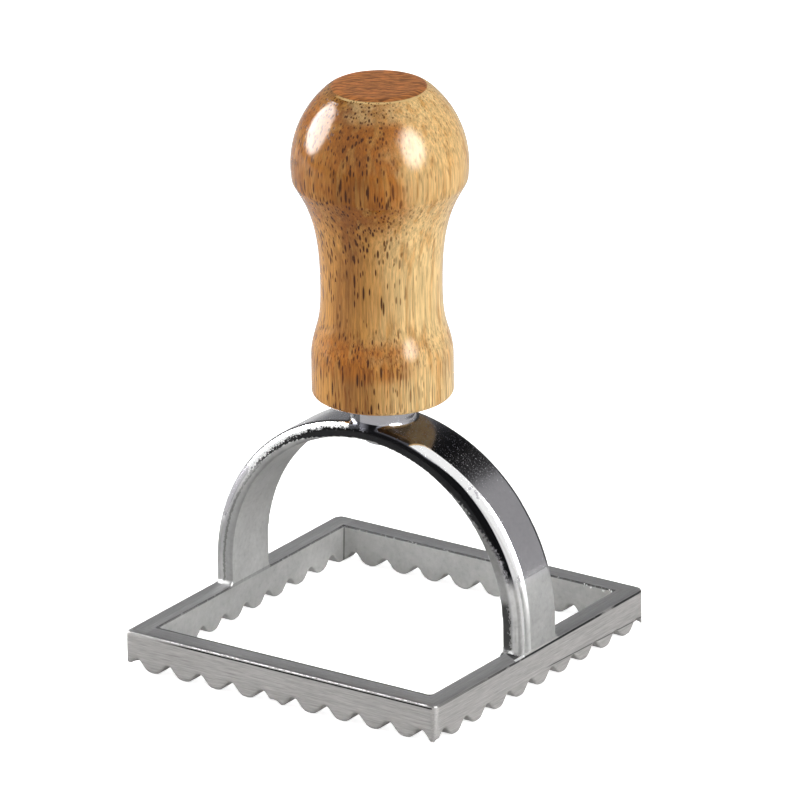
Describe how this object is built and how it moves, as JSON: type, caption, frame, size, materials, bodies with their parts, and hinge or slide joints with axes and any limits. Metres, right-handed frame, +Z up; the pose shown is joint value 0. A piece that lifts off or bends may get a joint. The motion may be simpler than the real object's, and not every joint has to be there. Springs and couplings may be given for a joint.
{
  "type": "ravioli stamp",
  "caption": "Square ravioli stamp: a cast metal cutting frame with a scalloped edge, an arched strap across it, and a turned wooden handle with a domed knob.",
  "frame": {"origin": "under the middle of the square, on the plane of the tooth tips", "axes": "+Z up along the handle; +X across the square in the direction that the arch spans; +Y makes it right-handed"},
  "size_m": [0.07, 0.07, 0.112],
  "materials": {
    "cast_metal": "cast, ground outside and polished on the strap",
    "wood": "clear gloss lacquer",
    "screw_steel": "zinc plated"
  },
  "bodies": {
    "root": {"cutter_casting": "cast_metal", "wooden_handle": "wood", "handle_screw": "screw_steel"}
  },
  "joints": []
}
